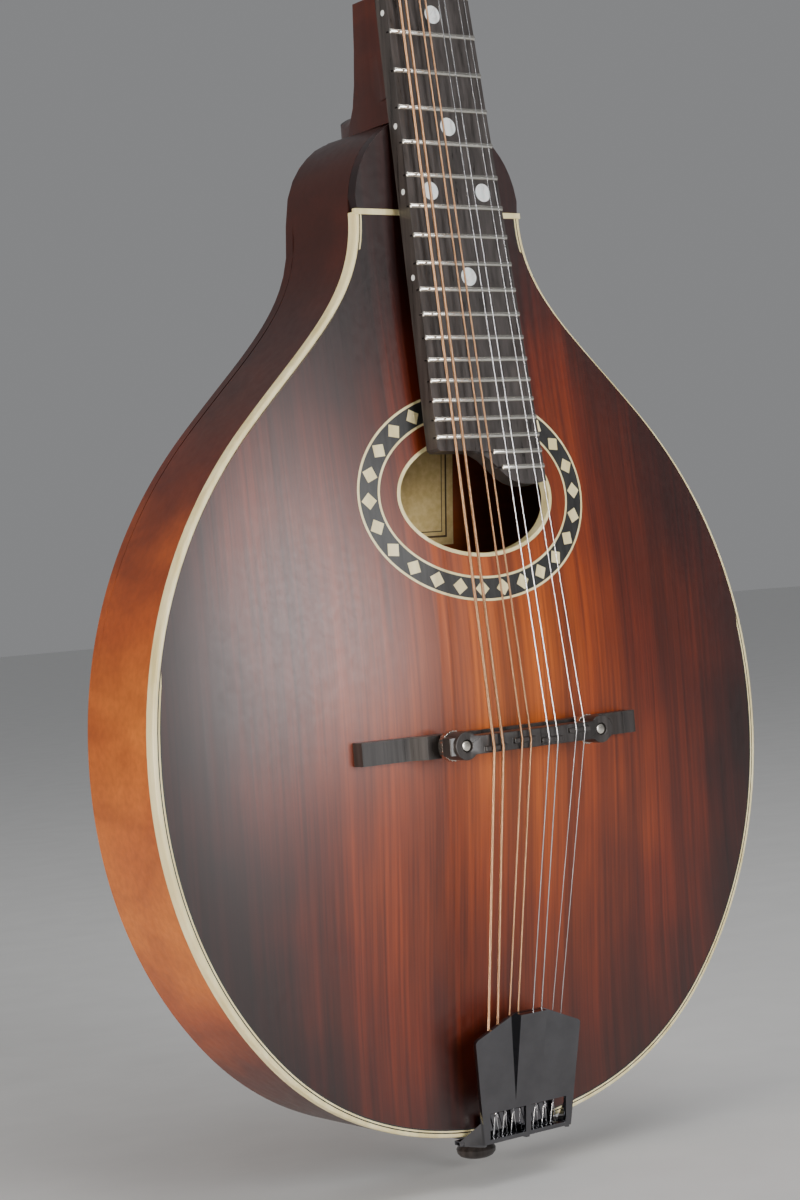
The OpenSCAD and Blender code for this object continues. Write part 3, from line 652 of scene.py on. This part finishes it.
def top_edge():
    """The top's own outline: inside the binding below the strip, full above it."""
    lower = inset(half_outline(24, CURVES[:4]), BINDING_W)
    upper = half_outline(24, CURVES[4:])
    return mirror_join(lower + upper)


plate("soundboard", top_edge(), HOLE_Z, hole_reach, TOP_RISE, lambda n: n, PLATE, "spruce_top", "top_plate")
plate("carved_back", FULL, ARCH[2], None, BACK_RISE, lambda n: -n - RIM, PLATE, "maple_stained", "back_plate")


def oval_strip(a_out, a_in, lift, depth, turns=192):
    """A flat ring between two ovals, laid on the arched top."""
    rings = []
    for a, n in ((a_out, -depth), (a_out, lift), (a_in, lift), (a_in, -depth)):
        ring = []
        for k in range(turns):
            angle = 2 * math.pi * k / turns
            x, z = a * math.cos(angle), HOLE_Z + (a - RING_SHIFT) * math.sin(angle)
            ring.append(body(x, arch_n(x, z) + n, z))
        rings.append(ring)
    verts = [p for ring in rings for p in ring]
    return verts, grid_faces(4, turns, close_rows=True, close_cols=True)


# The rosette's rings, from the outer cream line's edge in to the inner one's.
LINE_OUT = HOLE_A + 14.7
BAND_OUT = HOLE_A + 13.9
BAND_IN = HOLE_A + 7.2
LINE_IN = HOLE_A + 6.4
make("rosette_black_band", *oval_strip(BAND_OUT, BAND_IN, 0.05, 1), "black_inlay",
     replaces=["rosette_band"])
make("rosette_line_outer", *oval_strip(LINE_OUT, BAND_OUT, 0.06, 1), "ivoroid",
     replaces=["rosette_lines"])
make("rosette_line_inner", *oval_strip(BAND_IN, LINE_IN, 0.06, 1), "ivoroid",
     replaces=["rosette_lines"])
make("soundhole_rim", *oval_strip(HOLE_A, HOLE_A - 1.4, 0.15, PLATE + 0.1), "ivoroid",
     replaces=["soundhole_binding"], bevel=0.35)


def rosette_diamonds(count=26, half=2.8):
    a = HOLE_A + 10.6
    b = a - RING_SHIFT
    squash = (a * a - b * b) / (a * a + b * b) / 4
    parts = []
    for i in range(count):
        s = 2 * math.pi * (i + 0.5) / count + math.pi / 2
        t = s + squash * math.sin(2 * s)
        turn = math.atan2(b * math.cos(t), -a * math.sin(t))
        cx, cz = a * math.cos(t), b * math.sin(t) + HOLE_Z
        tips = [(cx + half * math.cos(turn + q), cz + half * math.sin(turn + q))
                for q in (0, math.pi / 2, math.pi, 3 * math.pi / 2)]
        parts.append(prism(tips, lambda x, z, d: body(x, arch_n(x, z) + d, z), -0.8, 0.1))
    return join(parts)


make("rosette_diamond_inlays", *rosette_diamonds(), "ivoroid", replaces=["rosette_diamonds"])

EDGE = bound_edge()
ROUND = [
    (0.0, -PLATE), (0.0, -0.9), (0.12, -0.4), (0.4, -0.1),
    (0.9, 0.02), (BINDING_W, 0.02), (BINDING_W, -PLATE),
]
make("edge_binding", *sweep(EDGE, ROUND, False), "ivoroid", replaces=["top_binding"])


def edge_line(name, d0, d1, lift, material):
    make(name, *sweep(EDGE, [(d0, -1.4), (d0, lift), (d1, lift), (d1, -1.4)], False), material,
         replaces=["top_purfling"])


edge_line("purfling_black_outer", BINDING_W, BINDING_W + 0.4, 0.04, "black_inlay")
edge_line("purfling_cream", BINDING_W + 0.4, BINDING_W + 0.95, 0.05, "ivoroid")
edge_line("purfling_black_inner", BINDING_W + 0.95, BINDING_W + 1.4, 0.04, "black_inlay")

STRIP = [(-35, STRIP_Z - 1), (35, STRIP_Z - 1), (35, STRIP_Z + 1), (-35, STRIP_Z + 1)]
make("cross_strip", *prism(STRIP, lambda x, z, d: body(x, d, z), -1.4, 0.28), "ivoroid",
     replaces=["top_binding"], bevel=0.25)
make("bent_sides", *sweep(FULL, [(0, PLATE - RIM), (0, -PLATE), (2.4, -PLATE), (2.4, PLATE - RIM)], True),
     "maple_stained", replaces=["ribs"])

# ---------------------------------------------------------------- pieces refined from the CAD


def refine(node, material, bevel=0.2, rides=ROOT, keep=None, name=None, segments=2):
    """A new piece with the node's own shape, its facets merged and its edges rounded."""
    source = frame["nodes"][node]
    bm = bmesh.new()
    bm.from_mesh(source.data)
    bm.transform(source.matrix_world)
    bmesh.ops.remove_doubles(bm, verts=bm.verts, dist=2e-6)
    if keep:
        bmesh.ops.delete(bm, geom=[f for f in bm.faces if not keep(f.calc_center_median())], context="FACES")
    bmesh.ops.dissolve_limit(bm, angle_limit=0.01, verts=bm.verts, edges=bm.edges)
    bmesh.ops.triangulate(bm, faces=[f for f in bm.faces if len(f.verts) > 4])
    verts = [v.co.copy() for v in bm.verts]
    faces = [tuple(v.index for v in f.verts) for f in bm.faces]
    bm.free()
    return make(name or node + "_finished", verts, faces, material, rides=rides, replaces=[node],
                bevel=bevel, segments=segments)


def lathe(centre, axis, profile):
    return loft(disc_ring(centre, axis, profile))


def slotted_screw(centre, axis, r, h, slot_half=0.22):
    """A domed head with a straight slot: a low disc and two half domes on it."""
    axis = axis.normalized()
    u = axis.orthogonal().normalized()
    v = axis.cross(u)
    parts = [lathe(centre, axis, [(0, r), (h * 0.5, r)])]
    for side in (1, -1):
        rings = []
        for at, size in ((0.4, 1.0), (0.7, 0.93), (0.9, 0.78), (1.0, 0.55)):
            reach = r * size
            first = math.asin(slot_half / reach)
            ring = []
            for k in range(17):
                a = first + (math.pi - 2 * first) * k / 16
                ring.append(centre + axis * h * at * MM
                            + (u * math.cos(a) + v * math.sin(a) * side) * reach * MM)
            rings.append(ring)
        parts.append(loft(rings))
    return join(parts)


refine("neck", "neck_wood", 0.5)
refine("heel_cap", "ebony", 0.3)
refine("fingerboard", "board_wood", 0.22)
refine("nut", "bone", 0.2)
refine("headstock_overlay", "ebony", 0.35)
refine("truss_rod_cover", "ebony", 0.25)
refine("bridge_base", "ebony", 0.45)
refine("bridge_saddle", "ebony", 0.35, rides="saddle")
refine("thumbwheel_bass", "nickel", 0.12, rides="wheel_bass")
refine("thumbwheel_treble", "nickel", 0.12, rides="wheel_treble")
refine("tailpiece", "chrome", 0.28)
refine("tuner_plate_bass", "chrome", 0.2)
refine("tuner_plate_treble", "chrome", 0.2)
refine("post_bushings", "nickel", 0.2)
refine("truss_rod_nut", "plain_steel", 0.15, rides="rod_nut")

# ---------------------------------------------------------------- frets, posts, pin and screws


def fret_crown(k, steps=8):
    """One rounded fret wire. The last two, on the tongue, start beside the centre line."""
    s = fret_s(k)
    half = board_w(s) / 2 - 0.02
    start = {23: 1.0, 24: 4.0}.get(k, -half)
    ends = ((0.0, 0.45), (0.15, 0.8), (0.5, 1))
    stations = [(start + x, size) for x, size in ends] + [(half - x, size) for x, size in reversed(ends)]
    rings = []
    for x, size in stations:
        turns = [math.pi * i / steps for i in range(steps + 1)]
        ring = [board(x, -0.95 * size * math.sin(a), -s + 0.9 * math.cos(a)) for a in turns]
        ring.append(board(x, 0.3, -s - 0.28))
        ring.append(board(x, 0.3, -s + 0.28))
        rings.append(ring)
    return loft(rings)


make("fret_wires", *join([fret_crown(k) for k in range(1, 25)]), "fret_metal", replaces=["frets"])

for x, side in ((-POST_X, "bass"), (POST_X, "treble")):
    stud = [(-0.5, 1.95), (14.1, 1.95), (14.6, 1.6), (14.7, 1.2)]
    make("bridge_stud_" + side, *lathe(body(x, 14.2, SADDLE_Z), Vector((0, -1, 0)), stud), "nickel",
         replaces=["bridge_posts"])

PIN = [(-12, 1), (-11.9, 4.4), (-11.3, 5.8), (-10.3, 6.6), (-9, 6.8), (-8, 6.1), (-7.2, 5.1), (-5.6, 4.25),
       (-4.2, 4.3), (-2.6, 5.1), (-1.6, 5.4), (-1.5, 3.9), (16, 3.8)]
make("end_pin_turned", *lathe(body(0, -21, TAIL_Z), Vector((0, 0, 1)), PIN), "ebony", replaces=["end_pin"])

SCREWS = [slotted_screw(body(x, -10, TAIL_Z - 1.6), Vector((0, 0, -1)), 2.6, 1.6) for x in (-10, 10)]
make("tailpiece_screw_heads", *join(SCREWS), "chrome", replaces=["tailpiece_screws"], bevel=0.08)

# ---------------------------------------------------------------- strings

STRING_R = (0.52, 0.52, 0.34, 0.34, 0.2, 0.2, 0.14, 0.14)
NUT_X = (-11.3, -9.3, -4.4, -2.4, 2.4, 4.4, 9.3, 11.3)
SADDLE_X = (-19.5, -15.8, -7.6, -3.9, 3.9, 7.6, 15.8, 19.5)
HOOK_X = (-14.2, -10.4, -6.6, -2.9, 2.9, 6.6, 10.4, 14.2)
CREST_DZ = (-1.6, -1.6, -0.2, -0.2, -1.2, -1.2, 0.8, 0.8)
STRING_POST = (1, 2, 3, 4, 8, 7, 6, 5)
HOOK = (4.5, -480.5)
POST_R = 2.95
WIND_Y = -5.4
COIL_TURNS = 3
COIL_STEPS = 20


def string_wire(i):
    """The playing length, over saddle and nut, and three turns round its post."""
    r = STRING_R[i]
    side = 1 if i < 4 else -1
    px, pz = post_pos(STRING_POST[i])
    coil_r = POST_R + 0.12 + r
    crest = body(SADDLE_X[i], CREST_N + r + 0.08, SADDLE_Z + CREST_DZ[i])
    tail = body(HOOK_X[i], *HOOK)
    nut_in = board(NUT_X[i], -1.07 - r, NUT_T / 2)
    nut_out = board(NUT_X[i], -1.07 - r, NUT_T + 0.1)
    first = head(px + side * coil_r, WIND_Y, pz - 0.6)
    path = [tail.lerp(crest, 0.07)]
    path += [tail.lerp(crest, t) for t in (0.3, 0.6, 0.9, 0.985)]
    path += [crest] + [crest.lerp(nut_in, t) for t in (0.008, 0.2, 0.4, 0.6, 0.8, 0.995)]
    path += [nut_in, nut_out] + [nut_out.lerp(first, t) for t in (0.05, 0.5, 0.96)]
    for k in range(COIL_TURNS * COIL_STEPS + 1):
        a = 2 * math.pi * k / COIL_STEPS
        depth = WIND_Y + 2.1 * r * k / COIL_STEPS
        path.append(head(px + side * coil_r * math.cos(a), depth, pz + coil_r * math.sin(a)))
    return tube(path, r, 12)


def string_loop(i):
    """The plain wire's loop round its hook and the twist that closes it."""
    wire = max(0.16, STRING_R[i] * 0.5)
    crest = body(SADDLE_X[i], CREST_N, SADDLE_Z)
    tail = body(HOOK_X[i], *HOOK)
    end = tail.lerp(crest, 0.075)
    start = tail.lerp(crest, 0.02)
    along_wire = (end - start).normalized()
    u = along_wire.cross(Vector((0, 1, 0))).normalized()
    v = along_wire.cross(u)
    parts = []
    for turn in (0, math.pi):
        path = []
        for k in range(41):
            a = turn + 2 * math.pi * 3.5 * k / 40
            path.append(start.lerp(end, k / 40) + (u * math.cos(a) + v * math.sin(a)) * wire * MM)
        parts.append(tube(path, wire, 8))
    middle = body(HOOK_X[i], 4.4, -484.6)
    ring = [start + u * wire * MM]
    for k in range(25):
        a = math.pi * (-0.1 + 1.2 * k / 24)
        ring.append(middle + Vector((u.x * 1.25 * math.cos(a), 0, -1.05 * math.sin(a))) * MM)
    ring.append(start - u * wire * MM)
    parts.append(tube(ring, wire, 8))
    return parts


def merge_tubes(parts):
    verts, faces = join(parts)
    return verts, faces, [uv for part in parts for uv in part[2]]


for node, pair, material in (("strings_g", (0, 1), "bronze_string"), ("strings_d", (2, 3), "bronze_string"),
                             ("strings_a", (4, 5), "steel_string"), ("strings_e", (6, 7), "steel_string")):
    verts, faces, uvs = merge_tubes([string_wire(i) for i in pair])
    make(node + "_wires", verts, faces, material, replaces=[node], uvs=uvs)
    verts, faces, uvs = merge_tubes([part for i in pair for part in string_loop(i)])
    make(node + "_loops", verts, faces, "steel_string", replaces=[node])

# ---------------------------------------------------------------- tuning machines

GEAR_MID_Y = 20.8
WORM_Z = 7.65
BUTTON_FROM = 14.4


def button_shape(i):
    """A rounded, slightly waisted button, wider towards its outer end."""
    px, pz = post_pos(i)
    side = -1 if i < 5 else 1
    rings = []
    for k in range(19):
        t = k / 18
        cap = math.sqrt(max(0.0, 1 - (2 * t - 1) ** 6)) + 0.03
        half_w = (2.9 + 1.6 * math.sin(min(1, t * 1.25) * math.pi / 2)) * cap
        half_t = (2.5 - 0.7 * t) * cap
        ring = []
        for j in range(28):
            a = 2 * math.pi * j / 28
            c, s = math.cos(a), math.sin(a)
            across = half_w * math.copysign(abs(c) ** 0.8, c)
            deep = half_t * math.copysign(abs(s) ** 0.8, s)
            ring.append(head(px + side * (BUTTON_FROM + 15 * t), GEAR_MID_Y + deep, pz + WORM_Z + across))
        rings.append(ring)
    return loft(rings)


for i in range(1, 9):
    refine(f"tuner_post_{i}", "nickel", 0.15, rides=f"tuner_post_{i}")
    reach = (abs(post_pos(i)[0]) + BUTTON_FROM - 0.05) * MM
    refine(f"tuner_key_{i}", "nickel", 0.06, rides=f"tuner_key_{i}", name=f"key_shaft_{i}",
           keep=lambda c: abs(c.x) < reach)
    make(f"key_button_{i}", *button_shape(i), "tuner_button", rides=f"tuner_key_{i}",
         replaces=[f"tuner_key_{i}"])

# ---------------------------------------------------------------- stage, lights and camera


def look_from(position, right, down, forward):
    camera = bpy.data.cameras.new("camera")
    obj = bpy.data.objects.new("camera", camera)
    bpy.context.scene.collection.objects.link(obj)
    axes = Matrix((right, [-c for c in down], [-c for c in forward])).transposed()
    obj.matrix_world = Matrix.Translation(position) @ axes.to_4x4()
    camera.lens = 74.54
    camera.sensor_fit = "AUTO"
    camera.sensor_width = 36
    bpy.context.scene.camera = obj


look_from(
    (-0.5131, -0.6751, -0.3048), (0.803, -0.590, -0.080), (-0.067, 0.044, -0.997), (0.592, 0.806, -0.004)
)


def stage_material():
    g = Graph("pale_floor")
    speck = g.noise(30, detail=4)
    return g.finish(g.ramp(speck, [(0.3, (0.80, 0.80, 0.79)), (0.7, (0.84, 0.84, 0.83))]), 0.85)


MAT["floor"] = stage_material()


def floor():
    low = cad_box[0][2] - 0.004
    mesh = bpy.data.meshes.new("floor")
    size = 12.0
    corners = [(-size, -size, low), (size, -size, low), (size, size, low), (-size, size, low)]
    mesh.from_pydata(corners, [], [(0, 1, 2, 3)])
    obj = bpy.data.objects.new("floor", mesh)
    bpy.context.scene.collection.objects.link(obj)
    mesh.materials.append(MAT["floor"])


def softbox(name, at, aim, size, watts, colour=(1, 1, 1)):
    light = bpy.data.lights.new(name, "AREA")
    light.shape = "RECTANGLE"
    light.size, light.size_y = size
    light.energy = watts
    light.color = colour
    obj = bpy.data.objects.new(name, light)
    bpy.context.scene.collection.objects.link(obj)
    obj.location = at
    obj.rotation_euler = (Vector(aim) - Vector(at)).to_track_quat("-Z", "Y").to_euler()


def world():
    w = bpy.data.worlds.new("studio")
    bpy.context.scene.world = w
    w.use_nodes = True
    back = w.node_tree.nodes["Background"]
    back.inputs["Color"].default_value = (0.80, 0.81, 0.83, 1)
    back.inputs["Strength"].default_value = 0.3


floor()
world()
softbox("sheen_box", (0.16, -1.78, -0.52), (-0.03, 0, -0.37), (0.75, 1.8), 62)
softbox("side_box", (-1.5, -0.15, -0.38), (0, 0, -0.35), (0.5, 0.5), 26, (1.0, 0.93, 0.84))
softbox("top_box", (0.2, -0.7, 1.4), (0, 0, -0.3), (1.2, 1.0), 9)

# ---------------------------------------------------------------- last update of the view layer


def write_sizes():
    bpy.context.view_layer.update()


write_sizes()
